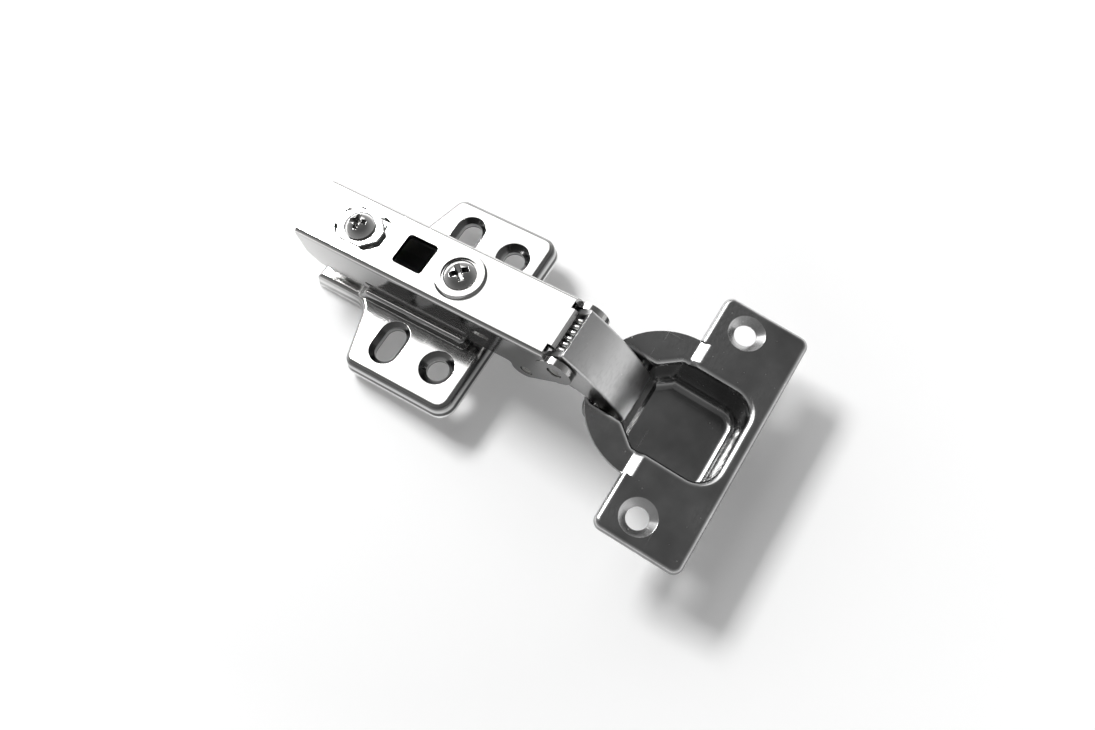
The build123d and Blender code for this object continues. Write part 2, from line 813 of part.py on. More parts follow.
with BuildPart() as inner_link:
    for side in (-inner_half, inner_half - link_sheet):
        with BuildSketch(inner_plane.offset(side)):
            add(inner_cheek.sketch)
            Circle(cup_pin_radius + turn_clearance, mode=Mode.SUBTRACT)
            add(eye_bore.sketch, mode=Mode.SUBTRACT)
        extrude(amount=link_sheet)
    with BuildSketch(inner_plane.offset(-inner_half)):
        add(inner_web.sketch)
    extrude(amount=inner_width)
inner_link.part.label = "inner_link"


# Closing spring on a sleeve round the front pin, with a leg to the arm and a leg to the link.
coil_turns = spring_turns + outer_link_angle / 360
coil_half = coil_turns * spring_pitch / 2
with BuildPart() as sleeve:
    with Locations(at(front_pin_x, front_pin_z)):
        Cylinder(front_pin_radius + turn_clearance + sleeve_wall, 2 * coil_half)
        Cylinder(front_pin_radius + turn_clearance, 2 * coil_half, mode=Mode.SUBTRACT)
sleeve.part.label = "spring_sleeve"

with BuildPart() as spring:
    with BuildLine():
        coil = Helix(
            pitch=spring_pitch,
            height=2 * coil_half,
            radius=spring_radius,
            center=(front_pin_x, -coil_half, front_pin_z),
            direction=(0, 1, 0),
        )
    with BuildSketch(Plane(origin=coil @ 0, z_dir=coil % 0)):
        Circle(spring_wire / 2)
    sweep(path=coil, is_frenet=True)
    with BuildSketch(Plane(origin=coil @ 0, z_dir=(-1, 0, 0))):
        Circle(spring_wire / 2)
    extrude(amount=spring_leg)
    with BuildSketch(Plane(origin=coil @ 1, z_dir=link_dir)):
        Circle(spring_wire / 2)
    extrude(amount=spring_leg)
    with Locations(coil @ 0, coil @ 1):
        Sphere(spring_wire / 2)
spring.part.label = "closing_spring"


# Cup: pocket, crescents and screw flange drawn from one sheet.
def pocket_outline(grow):
    with BuildSketch() as outline:
        with BuildLine():
            FilletPolyline(
                (throat_end, 0),
                (throat_end, throat_half),
                (facet_rear, throat_half),
                (facet_front, pocket_half),
                (pocket_front, pocket_half),
                (pocket_front, 0),
                radius=[throat_round, throat_round, facet_round, pocket_corner],
            )
            mirror(about=Plane.XZ)
        make_face()
        if grow:
            offset(amount=grow)
    return outline.sketch


def flange_outline(inset):
    with BuildSketch() as outline:
        with Locations(((flange_rear + flange_front) / 2, 0)):
            RectangleRounded(
                flange_front - flange_rear - 2 * inset, 2 * flange_half - 2 * inset, flange_corner - inset
            )
    return outline.sketch


# The space inside the pocket, with its floor step and rounded floor.
with BuildPart() as pocket:
    with BuildSketch(cup_plane.offset(-mouth_height)):
        add(pocket_outline(0))
    extrude(amount=mouth_height - pocket_depth, taper=pocket_draft)
    fillet(pocket.faces().sort_by(Axis(cup_origin, cup_w))[0].edges(), floor_fillet)
    with BuildSketch(cup_side):
        Polygon(
            (2 * throat_end, -pocket_depth - cup_sheet),
            (floor_step_u, -pocket_depth - cup_sheet),
            (floor_step_u, -pocket_depth),
            (floor_step_u - floor_step, -pocket_depth + floor_step),
            (2 * throat_end, -pocket_depth + floor_step),
            align=None,
        )
    extrude(amount=throat_half * 2, both=True, mode=Mode.SUBTRACT)
    with BuildSketch(cup_plane.offset(-mouth_height)):
        add(pocket_outline(0))
    extrude(amount=mouth_height + cup_sheet)

# Middle line of the sheet that steps down from the flange to the crescents.
with BuildLine() as joggle:
    FilletPolyline(
        (-cup_radius - 2 * cup_sheet, -crescent_drop - cup_sheet / 2),
        (joggle_low, -crescent_drop - cup_sheet / 2),
        (joggle_low + joggle_run, -cup_sheet / 2),
        (joggle_end + cup_sheet, -cup_sheet / 2),
        radius=joggle_round,
    )

# The stepped sheet, on the upright part of the pocket's wall.
with BuildPart() as crescents:
    with BuildSketch(cup_plane.offset(-cup_sheet / 2)):
        add(pocket_outline(cup_sheet))
    extrude(amount=cup_sheet / 2 - mouth_height)
    with BuildSketch(cup_side):
        with BuildLine():
            add(joggle.line)
            Polyline(
                joggle.line @ 1,
                (joggle_end + cup_sheet, cup_sheet),
                (-cup_radius - 2 * cup_sheet, cup_sheet),
                joggle.line @ 0,
            )
        make_face()
    extrude(amount=cup_radius, both=True, mode=Mode.SUBTRACT)
    with BuildSketch(cup_side):
        trace(joggle.line, cup_sheet)
    extrude(amount=cup_radius, both=True)

# The hollow under the flange, open towards the door round the pocket's walls.
with BuildPart() as tray:
    with BuildSketch(cup_plane.offset(-cup_sheet)):
        add(flange_outline(cup_sheet))
        add(pocket_outline(2 * cup_sheet), mode=Mode.SUBTRACT)
    extrude(amount=-flange_rim)

with BuildPart() as cup:
    with BuildSketch(cup_plane):
        add(flange_outline(0))
    extrude(amount=-flange_rim)
    top_face = cup.faces().sort_by(Axis(cup_origin, cup_w))[-1]
    fillet(top_face.edges(), flange_bend)
    add(tray.part, mode=Mode.SUBTRACT)
    for side in (1, -1):
        with BuildSketch(cup_plane.offset(-flange_rim)):
            with Locations((screw_hole_u, side * screw_hole_v)):
                Circle(screw_hole / 2 + cup_sheet)
        extrude(amount=flange_rim - cup_sheet / 2, taper=-boss_draft)
    with BuildSketch(cup_plane):
        with Locations((joggle_end, 0)):
            Rectangle(
                2 * cup_radius, 2 * (cup_radius - 2 * slide_gap), align=(Align.MAX, Align.CENTER)
            )
    extrude(amount=-flange_rim, mode=Mode.SUBTRACT)
    add(crescents.part)
    with BuildSketch(cup_plane.offset(-mouth_height)):
        add(pocket_outline(cup_sheet))
    extrude(amount=mouth_height - pocket_depth - cup_sheet, taper=pocket_draft)
    # The pocket, with a rounded mouth along flange, joggle and crescents.
    add(pocket.part, mode=Mode.SUBTRACT)
    mouth_side = pocket_half + turn_clearance
    mouth = cup.edges(Select.LAST).filter_by_position(Axis.Y, -mouth_side, mouth_side)
    mouth = mouth.filter_by_position(
        Axis(cup_origin, cup_w), -crescent_drop - turn_clearance, turn_clearance
    )
    upper_faces = cup.faces().filter_by(lambda face: face.normal_at().dot(cup_w) > facing_up)
    upper_edges = upper_faces.edges()
    fillet([edge for edge in mouth if edge in upper_edges], mouth_bend)
    # Behind the flange everything keeps within the round cup bore.
    with BuildSketch(cup_plane.offset(cup_sheet)):
        with Locations((flange_rear, 0)):
            Rectangle(2 * cup_radius, 3 * cup_radius, align=(Align.MAX, Align.CENTER))
        Circle(cup_radius, mode=Mode.SUBTRACT)
    extrude(amount=-pocket_depth - 3 * cup_sheet, mode=Mode.SUBTRACT)
    # Open end of the throat, above its sill.
    with BuildSketch(cup_plane.offset(sill_level)):
        with Locations((throat_end + throat_round, 0)):
            Rectangle(2 * cup_radius, 2 * throat_half, align=(Align.MAX, Align.CENTER))
    extrude(amount=-sill_level + cup_sheet, mode=Mode.SUBTRACT)
    # Screw holes, and the bores for the two legs of the cup pin.
    with Locations(cup_plane.offset(0)):
        with Locations((screw_hole_u, screw_hole_v), (screw_hole_u, -screw_hole_v)):
            CounterSinkHole(
                screw_hole / 2, screw_sink / 2, depth=3 * cup_sheet, counter_sink_angle=cup_sink_angle
            )
    for point in (cup_pin_point, back_pin_point):
        with Locations(at(point.X, point.Z)):
            Cylinder(cup_pin_radius + held_clearance, 2 * cup_radius, mode=Mode.SUBTRACT)
cup.part.label = "cup"


# Cup pin: one bent wire whose two legs carry the links.
leg_gap = cup_pin_point - back_pin_point
bend_radius = leg_gap.length / 2
wire_plane = Plane(origin=back_pin_point, x_dir=leg_gap, z_dir=leg_gap.cross(Vector(0, 1, 0)))
with BuildPart() as cup_pin:
    with BuildLine(wire_plane):
        Line((0, pin_leg_end), (0, -pin_bend_start))
        CenterArc((bend_radius, -pin_bend_start), bend_radius, 180, 180)
        Line((2 * bend_radius, -pin_bend_start), (2 * bend_radius, pin_leg_end))
    with BuildSketch(Plane(origin=wire_plane.from_local_coords((0, pin_leg_end)), z_dir=(0, -1, 0))):
        Circle(cup_pin_radius)
    sweep()
cup_pin.part.label = "cup_pin"

os.makedirs("parts", exist_ok=True)
pieces = [plate.part, carrier.part, hook_pin, lever_pin, lever.part, leaf.part,
          depth_screw.part, washer.part, collar.part, side_screw.part,
          arm.part, front_axle, rear_axle, outer_link.part, inner_link.part,
          sleeve.part, spring.part, cup.part, cup_pin.part]
for piece in pieces:
    print(piece.label, round(piece.volume, 1), piece.is_valid, len(piece.solids()))
    export_step(piece, "parts/" + piece.label + ".step")
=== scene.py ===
import math
import bmesh
import bpy
from mathutils import Matrix, Vector


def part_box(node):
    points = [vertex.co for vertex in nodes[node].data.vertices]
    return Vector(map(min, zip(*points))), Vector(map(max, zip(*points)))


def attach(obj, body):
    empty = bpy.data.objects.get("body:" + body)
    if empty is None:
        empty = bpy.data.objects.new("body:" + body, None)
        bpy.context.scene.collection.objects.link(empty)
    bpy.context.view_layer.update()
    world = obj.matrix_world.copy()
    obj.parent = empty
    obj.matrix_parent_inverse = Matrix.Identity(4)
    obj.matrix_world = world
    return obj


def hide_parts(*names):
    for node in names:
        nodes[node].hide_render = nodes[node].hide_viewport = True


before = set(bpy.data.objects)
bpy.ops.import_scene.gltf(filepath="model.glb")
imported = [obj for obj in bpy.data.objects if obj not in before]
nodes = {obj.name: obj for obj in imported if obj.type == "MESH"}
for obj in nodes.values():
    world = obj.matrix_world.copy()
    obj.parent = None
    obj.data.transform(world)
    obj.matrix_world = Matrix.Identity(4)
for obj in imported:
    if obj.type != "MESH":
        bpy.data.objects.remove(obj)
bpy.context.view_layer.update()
mm = 0.001

# Camera: place in mm, axes of the view and focal length in pixels of the frame's width.
camFacts = {
    "place": (107.93, -79.69, 215.51),
    "right": (0.8469, 0.5212, -0.1058),
    "forward": (-0.3100, 0.3221, -0.8945),
    "focalPx": 1073.12,
    "widthPx": 1095,
    "sensorMm": 36,
    "clipNear": 0.01,
    "clipFar": 10,
}


def makeCamera(facts):
    data = bpy.data.cameras.new("camera")
    data.sensor_width = facts["sensorMm"]
    data.lens = facts["focalPx"] * facts["sensorMm"] / facts["widthPx"]
    data.clip_start = facts["clipNear"]
    data.clip_end = facts["clipFar"]
    camera = bpy.data.objects.new("camera", data)
    right = Vector(facts["right"]).normalized()
    back = -Vector(facts["forward"]).normalized()
    up = back.cross(right)
    turn = Matrix((right, up, back)).transposed().to_4x4()
    camera.matrix_world = Matrix.Translation(Vector(facts["place"]) * mm) @ turn
    bpy.context.scene.collection.objects.link(camera)
    bpy.context.scene.camera = camera


# Studio: a wide softbox for the gloss and a smaller one for the shadow.
lampFacts = {
    "wide": {"place": (-0.92, 0.60, 0.90), "size": (1.58, 1.30), "power": 8.2},
    "key": {"place": (-0.80, 0.32, 1.02), "size": (0.34, 0.52), "power": 22.5},
}

# Dome: pale at the horizon, dark above; low and high are strengths, edge and band are heights.
domeFacts = {
    "low": 0.50,
    "high": 0.10,
    "edge": 0.88,
    "whiteBand": (0.10, 0.22),
}

# Floor: it touches the tail of the plate and the cup, as x and z in mm, so it slopes.
# Its lift grows to plain white away from the hinge, from start to end in metres.
floorFacts = {
    "touch": ((-26.4, 0.0), (75.5, -13.1)),
    "reach": 3.0,
    "colour": 0.88,
    "lift": 0.14,
    "fadeStart": 0.09,
    "fadeEnd": 0.50,
}


def addMath(tree, kind, first, second):
    node = tree.nodes.new("ShaderNodeMath")
    node.operation = kind
    for slot, value in ((0, first), (1, second)):
        if isinstance(value, (int, float)):
            node.inputs[slot].default_value = value
        else:
            tree.links.new(value, node.inputs[slot])
    return node.outputs[0]


def addNoise(tree, vector, scale, detail, stretch=None, turn=(0, 0, 0)):
    if stretch:
        mapping = tree.nodes.new("ShaderNodeMapping")
        mapping.inputs["Scale"].default_value = stretch
        mapping.inputs["Rotation"].default_value = turn
        tree.links.new(vector, mapping.inputs["Vector"])
        vector = mapping.outputs[0]
    noise = tree.nodes.new("ShaderNodeTexNoise")
    noise.inputs["Scale"].default_value = scale
    noise.inputs["Detail"].default_value = detail
    tree.links.new(vector, noise.inputs["Vector"])
    return noise.outputs["Fac"]


def addRange(tree, value, low, high, outLow=0.0, outHigh=1.0):
    node = tree.nodes.new("ShaderNodeMapRange")
    node.clamp = True
    tree.links.new(value, node.inputs["Value"])
    ends = {"From Min": low, "From Max": high, "To Min": outLow, "To Max": outHigh}
    for name, number in ends.items():
        if isinstance(number, (int, float)):
            node.inputs[name].default_value = number
        else:
            tree.links.new(number, node.inputs[name])
    return node.outputs[0]


def addSeen(tree):
    # 1 for rays from the camera, off metal and through glass, 0 for light on the object.
    path = tree.nodes.new("ShaderNodeLightPath")
    seen = addMath(tree, "MAXIMUM", path.outputs["Is Camera Ray"], path.outputs["Is Glossy Ray"])
    return addMath(tree, "MAXIMUM", seen, path.outputs["Is Transmission Ray"])


def makeLamp(name, facts):
    data = bpy.data.lights.new(name, "AREA")
    data.shape = "RECTANGLE"
    data.size, data.size_y = facts["size"]
    data.energy = facts["power"]
    lamp = bpy.data.objects.new(name, data)
    lamp.location = facts["place"]
    bpy.context.scene.collection.objects.link(lamp)


def makeDome(facts):
    world = bpy.data.worlds.new("studio")
    bpy.context.scene.world = world
    world.use_nodes = True
    tree = world.node_tree
    tree.nodes.clear()
    coords = tree.nodes.new("ShaderNodeTexCoord")
    split = tree.nodes.new("ShaderNodeSeparateXYZ")
    tree.links.new(coords.outputs["Generated"], split.inputs[0])
    height = split.outputs["Z"]
    ramp = addRange(tree, height, 0.0, facts["edge"], facts["low"], facts["high"])
    ramp.node.interpolation_type = "SMOOTHSTEP"
    bandLow, bandHigh = facts["whiteBand"]
    band = addRange(tree, height, bandLow, bandHigh, 1.0, 0.0)
    white = addMath(tree, "MULTIPLY", band, addSeen(tree))
    shade = tree.nodes.new("ShaderNodeBackground")
    shade.inputs["Color"].default_value = (1, 1, 1, 1)
    tree.links.new(addMath(tree, "MAXIMUM", ramp, white), shade.inputs["Strength"])
    out = tree.nodes.new("ShaderNodeOutputWorld")
    tree.links.new(shade.outputs[0], out.inputs[0])


def paintFloor(facts):
    paint = bpy.data.materials.new("floorPaint")
    paint.use_nodes = True
    tree = paint.node_tree
    tree.nodes.clear()
    matt = tree.nodes.new("ShaderNodeBsdfDiffuse")
    matt.inputs["Color"].default_value = (facts["colour"],) * 3 + (1,)
    away = tree.nodes.new("ShaderNodeVectorMath")
    away.operation = "LENGTH"
    coords = tree.nodes.new("ShaderNodeTexCoord")
    tree.links.new(coords.outputs["Object"], away.inputs[0])
    start, end = facts["fadeStart"], facts["fadeEnd"]
    fade = addRange(tree, away.outputs["Value"], start, end, facts["lift"], 1.0)
    glow = tree.nodes.new("ShaderNodeEmission")
    tree.links.new(addMath(tree, "MULTIPLY", fade, addSeen(tree)), glow.inputs["Strength"])
    both = tree.nodes.new("ShaderNodeAddShader")
    tree.links.new(matt.outputs[0], both.inputs[0])
    tree.links.new(glow.outputs[0], both.inputs[1])
    out = tree.nodes.new("ShaderNodeOutputMaterial")
    tree.links.new(both.outputs[0], out.inputs["Surface"])
    return paint


def makeFloor(facts):
    mesh = bpy.data.meshes.new("floor")
    far = facts["reach"]
    (rearX, rearZ), (frontX, frontZ) = facts["touch"]
    slope = (frontZ - rearZ) / (frontX - rearX)
    corners = []
    for x, y in ((-far, -far), (far, -far), (far, far), (-far, far)):
        corners.append((x, y, rearZ * mm + slope * (x - rearX * mm)))
    mesh.from_pydata(corners, [], [(0, 1, 2, 3)])
    mesh.materials.append(paintFloor(facts))
    floor = bpy.data.objects.new("floor", mesh)
    bpy.context.scene.collection.objects.link(floor)


bpy.context.scene.view_settings.view_transform = "Standard"
makeCamera(camFacts)
for lampName, facts in lampFacts.items():
    makeLamp(lampName, facts)
makeDome(domeFacts)
makeFloor(floorFacts)
print("camera and studio done")


def newGroup(name, ins, outs):
    # Shader group with plain sockets: ins and outs are (name, socket type, default).
    group = bpy.data.node_groups.new(name, "ShaderNodeTree")
    for label, kind, value in ins:
        socket = group.interface.new_socket(label, in_out="INPUT", socket_type=kind)
        if value is not None:
            socket.default_value = value
    for label, kind in outs:
        group.interface.new_socket(label, in_out="OUTPUT", socket_type=kind)
    begin = group.nodes.new("NodeGroupInput")
    end = group.nodes.new("NodeGroupOutput")
    return group, begin, end


# Plating and painted wall shade, shared by all metal finishes; lengths along x are in metres,
# scales are per metre.
platingFacts = {
    # The wall entries place painted shade on upright walls: full from x = -4 mm forward, falling
    # to the rear share behind x = -30 mm.
    "wallShadeAlong": (-0.030, -0.004),
    "wallShadeRear": 0.35,
    "hazeScale": 75.0,
    "hazeRange": (0.36, 0.66),
    "mottleScale": 1500.0,
    "mottleStretch": (1.0, 0.45, 1.0),
    "mottleTurn": (0, 0, 0.6),
    "mottleRange": (0.35, 0.65),
    "scratches": (
        {"scale": 3600.0, "stretch": (1.0, 0.02, 0.3), "turn": (0, 0, 0.5)},
        {"scale": 3200.0, "stretch": (0.02, 1.0, 0.3), "turn": (0, 0, 0.9)},
    ),
    "scratchRange": (0.70, 0.90),
    "scratchDepth": -0.004,
    "patchScale": 55.0,
    "patchRange": (0.45, 0.62),
    "dustScale": 700.0,
    "dustSize": 0.15,
    "dustRarity": 4.0,
    "dustRough": 0.8,
    "waveScale": 140.0,
}

# Inputs of the plating group and the entry of a finish that each one takes.
platingInputs = {
    "Wall Shade": "wallShade", "Wall Start": "wallShadeStart", "Wall End": "wallShadeEnd", "Rough": "rough",
    "Rough Scratch": "roughScratch", "Speck": "speck", "Mottle": "mottle", "Haze": "haze",
}


def makePlatingAndWallShade(facts):
    ins = [(label, "NodeSocketFloat", 0.5) for label in platingInputs]
    outs = [(label, "NodeSocketFloat") for label in ("Tint", "Wall Shade", "Speck", "Rough", "Height")]
    group, begin, end = newGroup("platingAndWallShade", ins, outs)
    given = begin.outputs
    source = group.nodes.new("ShaderNodeTexCoord")
    coords = source.outputs["Object"]

    # Painted shade on walls: full where the surface stands upright, weaker at the rear.
    facing = group.nodes.new("ShaderNodeSeparateXYZ")
    group.links.new(source.outputs["Normal"], facing.inputs[0])
    level = addMath(group, "ABSOLUTE", facing.outputs[2], 0.0)
    upright = addRange(group, level, given["Wall Start"], given["Wall End"], given["Wall Shade"], 0.0)
    place = group.nodes.new("ShaderNodeSeparateXYZ")
    group.links.new(coords, place.inputs[0])
    along = addRange(group, place.outputs[0], *facts["wallShadeAlong"], facts["wallShadeRear"], 1.0)
    group.links.new(addMath(group, "MULTIPLY", upright, along), end.inputs["Wall Shade"])

    # Tint: broad haze and fine mottling.
    haze = addRange(group, addNoise(group, coords, facts["hazeScale"], 3.0), *facts["hazeRange"])
    haze = addMath(group, "MULTIPLY", haze, given["Haze"])
    stretch, turn = facts["mottleStretch"], facts["mottleTurn"]
    mottle = addNoise(group, coords, facts["mottleScale"], 5.0, stretch, turn)
    mottle = addRange(group, mottle, *facts["mottleRange"], 0.0, given["Mottle"])
    group.links.new(addMath(group, "MAXIMUM", mottle, haze), end.inputs["Tint"])

    # Scratches in two directions, in patches.
    lines = []
    for entry in facts["scratches"]:
        grain = addNoise(group, coords, entry["scale"], 0.0, entry["stretch"], entry["turn"])
        lines.append(addRange(group, grain, *facts["scratchRange"]))
    where = addNoise(group, coords, facts["patchScale"], 2.0)
    where = addRange(group, where, *facts["patchRange"])
    scratch = addMath(group, "MULTIPLY", addMath(group, "MAXIMUM", *lines), where)

    # Dust: one speck in each cell, most of them tiny.
    cells = group.nodes.new("ShaderNodeTexVoronoi")
    cells.inputs["Scale"].default_value = facts["dustScale"]
    group.links.new(coords, cells.inputs["Vector"])
    share = group.nodes.new("ShaderNodeSeparateColor")
    group.links.new(cells.outputs["Color"], share.inputs[0])
    size = addMath(group, "POWER", share.outputs[0], facts["dustRarity"])
    size = addMath(group, "MULTIPLY", size, facts["dustSize"])
    speck = addMath(group, "LESS_THAN", cells.outputs["Distance"], size)
    speck = addMath(group, "MULTIPLY", speck, given["Speck"])
    group.links.new(speck, end.inputs["Speck"])

    rough = addMath(group, "MULTIPLY", scratch, given["Rough Scratch"])
    rough = addMath(group, "ADD", rough, given["Rough"])
    dusty = addMath(group, "MULTIPLY", speck, facts["dustRough"])
    group.links.new(addMath(group, "MAXIMUM", rough, dusty), end.inputs["Rough"])
    groove = addMath(group, "MULTIPLY", scratch, facts["scratchDepth"])
    waves = addNoise(group, coords, facts["waveScale"], 1.0)
    group.links.new(addMath(group, "ADD", waves, groove), end.inputs["Height"])
    return group


platingAndWallShade = makePlatingAndWallShade(platingFacts)

# One entry per finish. The colours go from light to deep with the tint, and to the dark colour on
# walls, which is painted shade.
# Wall start and end are slopes, edge is a radius in mm, the others are strengths.
finishes = {
    "nickel": {
        "light": (0.86, 0.855, 0.845), "deep": (0.74, 0.735, 0.725), "dark": (0.15, 0.15, 0.15),
        "wallShade": 0.92, "wallShadeStart": 0.35, "wallShadeEnd": 0.92,
        "rough": 0.12, "roughScratch": 0.1, "edge": 0.1, "wave": 0.06,
        "speck": 0.15, "mottle": 0.1, "haze": 0.1,
    },
    "plate": {
        "light": (0.86, 0.855, 0.845), "deep": (0.74, 0.735, 0.725), "dark": (0.22, 0.22, 0.22),
        "wallShade": 0.95, "wallShadeStart": 0.68, "wallShadeEnd": 0.97,
        "rough": 0.13, "roughScratch": 0.1, "edge": 0.22, "wave": 0.09,
        "speck": 0.15, "mottle": 0.2, "haze": 0.1,
        # On the plate the wall colour is bands by height: painted highlight lines and painted
        # shade bands.
        "highlightAndShadeTop": 8,
        "highlightAndShadeBands": (
            (0.03, 0.85), (0.07, 0.75), (0.1, 0.05), (0.19, 0.06), (0.24, 0.6),
            (0.33, 0.42), (0.39, 0.07), (0.5, 0.06), (0.6, 0.12), (0.9, 0.2),
        ),
    },
    "cup": {
        "light": (0.74, 0.74, 0.74), "deep": (0.42, 0.42, 0.42), "dark": (0.1, 0.1, 0.1),
        "wallShade": 0.72, "wallShadeStart": 0.35, "wallShadeEnd": 0.8,
        "rough": 0.2, "roughScratch": 0.14, "edge": 0.14, "wave": 0.1,
        "speck": 0.42, "mottle": 0.34, "haze": 0.9,
    },
    "link": {
        "light": (0.76, 0.76, 0.76), "deep": (0.52, 0.52, 0.52), "dark": (0.2, 0.2, 0.2),
        "wallShade": 0.4, "wallShadeStart": 0.35, "wallShadeEnd": 0.8,
        "rough": 0.32, "roughScratch": 0.12, "edge": 0.16, "wave": 0.05,
        "speck": 0.5, "mottle": 0.5, "haze": 0.5,
    },
    "zinc": {
        "light": (0.6, 0.6, 0.6), "deep": (0.42, 0.42, 0.42), "dark": (0.18, 0.18, 0.18),
        "wallShade": 0.5, "wallShadeStart": 0.35, "wallShadeEnd": 0.8,
        "rough": 0.34, "roughScratch": 0.1, "edge": 0.12, "wave": 0.05,
        "speck": 0.2, "mottle": 0.6, "haze": 0.4,
    },
    "screw": {
        "light": (0.84, 0.835, 0.825), "deep": (0.66, 0.66, 0.65), "dark": (0.09, 0.09, 0.09),
        "wallShade": 0.88, "wallShadeStart": 0.35, "wallShadeEnd": 0.94,
        "rough": 0.14, "roughScratch": 0.08, "edge": 0.1, "wave": 0.03,
        "speck": 0.2, "mottle": 0.2, "haze": 0.2,
    },
    "pin": {
        "light": (0.66, 0.66, 0.65), "deep": (0.46, 0.46, 0.45), "dark": (0.2, 0.2, 0.2),
        "wallShade": 0, "wallShadeStart": 0.35, "wallShadeEnd": 0.8,
        "rough": 0.24, "roughScratch": 0.1, "edge": 0.08, "wave": 0.02,
        "speck": 0.1, "mottle": 0.4, "haze": 0.2,
    },
    # Near-black finish for the pin ends: painted shade for the hollow round each sunk pin end.
    "shadedPinEnd": {
        "light": (0.22, 0.22, 0.21), "deep": (0.12, 0.12, 0.12), "dark": (0.1, 0.1, 0.1),
        "wallShade": 0, "wallShadeStart": 0.35, "wallShadeEnd": 0.8,
        "rough": 0.3, "roughScratch": 0.1, "edge": 0, "wave": 0.02,
        "speck": 0.1, "mottle": 0.4, "haze": 0.2,
    },
    "spring": {
        "light": (0.9, 0.9, 0.89), "deep": (0.66, 0.66, 0.65), "dark": (0.24, 0.24, 0.24),
        "wallShade": 0, "wallShadeStart": 0.35, "wallShadeEnd": 0.8,
        "rough": 0.27, "roughScratch": 0.08, "edge": 0, "wave": 0.02,
        "speck": 0.1, "mottle": 0.3, "haze": 0.1,
    },
}
speckColour = (0.85, 0.85, 0.84, 1)
waveHeight = 0.001  # metres
edgeSamples = 6


def addHighlightAndShadeBands(tree, facts):
    # Tone by height, for the rim of the plate: painted highlight lines and painted shade bands.
    height = tree.nodes.new("ShaderNodeSeparateXYZ")
    coords = tree.nodes.new("ShaderNodeTexCoord")
    tree.links.new(coords.outputs["Object"], height.inputs[0])
    level = addRange(tree, height.outputs[2], 0.0, facts["highlightAndShadeTop"] * mm)
    node = tree.nodes.new("ShaderNodeValToRGB")
    ramp = node.color_ramp
    for place, tone in facts["highlightAndShadeBands"]:
        stop = ramp.elements.new(place)
        stop.color = (tone, tone, tone, 1)
    ramp.elements.remove(ramp.elements[0])
    ramp.elements.remove(ramp.elements[-1])
    tree.links.new(level, node.inputs[0])
    return node.outputs[0]


def addMix(tree, share, first, second):
    # Blend of two colours; a plain colour or an output will do.
    node = tree.nodes.new("ShaderNodeMix")
    node.data_type = "RGBA"
    tree.links.new(share, node.inputs["Factor"])
    for name, value in (("A", first), ("B", second)):
        if isinstance(value, tuple):
            node.inputs[name].default_value = value
        else:
            tree.links.new(value, node.inputs[name])
    return node.outputs["Result"]


def makeMetal(name, facts):
    paint = bpy.data.materials.new(name)
    paint.use_nodes = True
    tree = paint.node_tree
    shader = tree.nodes["Principled BSDF"]
    shader.inputs["Metallic"].default_value = 1.0
    effects = tree.nodes.new("ShaderNodeGroup")
    effects.node_tree = platingAndWallShade
    for label, key in platingInputs.items():
        effects.inputs[label].default_value = facts[key]
    # The dark colour, or the plate's bands, is painted shade that the wall mask mixes in.
    dark = addHighlightAndShadeBands(tree, facts) if "highlightAndShadeBands" in facts else facts["dark"] + (1,)
    colour = addMix(tree, effects.outputs["Tint"], facts["light"] + (1,), facts["deep"] + (1,))
    colour = addMix(tree, effects.outputs["Wall Shade"], colour, dark)
    colour = addMix(tree, effects.outputs["Speck"], colour, speckColour)
    tree.links.new(colour, shader.inputs["Base Color"])
    tree.links.new(effects.outputs["Rough"], shader.inputs["Roughness"])
    bump = tree.nodes.new("ShaderNodeBump")
    bump.inputs["Strength"].default_value = facts["wave"]
    bump.inputs["Distance"].default_value = waveHeight
    tree.links.new(effects.outputs["Height"], bump.inputs["Height"])
    if facts["edge"] > 0:
        edge = tree.nodes.new("ShaderNodeBevel")
        edge.samples = edgeSamples
        edge.inputs["Radius"].default_value = facts["edge"] * mm
        tree.links.new(edge.outputs[0], bump.inputs["Normal"])
    tree.links.new(bump.outputs[0], shader.inputs["Normal"])
    return paint


def makePlastic(name, facts):
    paint = bpy.data.materials.new(name)
    paint.use_nodes = True
    shader = paint.node_tree.nodes["Principled BSDF"]
    shader.inputs["Base Color"].default_value = facts["colour"] + (1,)
    shader.inputs["Roughness"].default_value = facts["rough"]
    return paint


paints = {name: makeMetal(name, facts) for name, facts in finishes.items()}
paints["plastic"] = makePlastic("sleevePlastic", {"colour": (0.03, 0.03, 0.03), "rough": 0.5})

# Which finish each CAD node takes.
nodeFinish = {
    "mounting_plate": "plate", "clip_carrier": "zinc", "front_hook_pin": "pin", "lever_pin": "pin",
    "release_lever": "zinc", "lever_spring": "spring", "depth_screw": "screw",
    "serrated_washer": "nickel", "side_screw_collar": "nickel", "side_screw": "screw",
    "arm": "nickel", "front_pin": "pin", "rear_pin": "pin", "outer_link": "link",
    "inner_link": "link", "spring_sleeve": "plastic", "closing_spring": "spring",
    "cup": "cup", "cup_pin": "pin",
}
for nodeName, finish in nodeFinish.items():
    slots = nodes[nodeName].data.materials
    slots.clear()
    slots.append(paints[finish])
print("materials done")


def meshPiece(name, verts, faces, paint, body=None, slot=None):
    mesh = bpy.data.meshes.new(name)
    mesh.from_pydata(verts, [], faces)
    work = bmesh.new()
    work.from_mesh(mesh)
    bmesh.ops.recalc_face_normals(work, faces=work.faces)
    work.to_mesh(mesh)
    work.free()
    mesh.materials.append(paint)
    piece = bpy.data.objects.new(name, mesh)
    bpy.context.scene.collection.objects.link(piece)
    if body:
        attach(piece, body)
    return piece


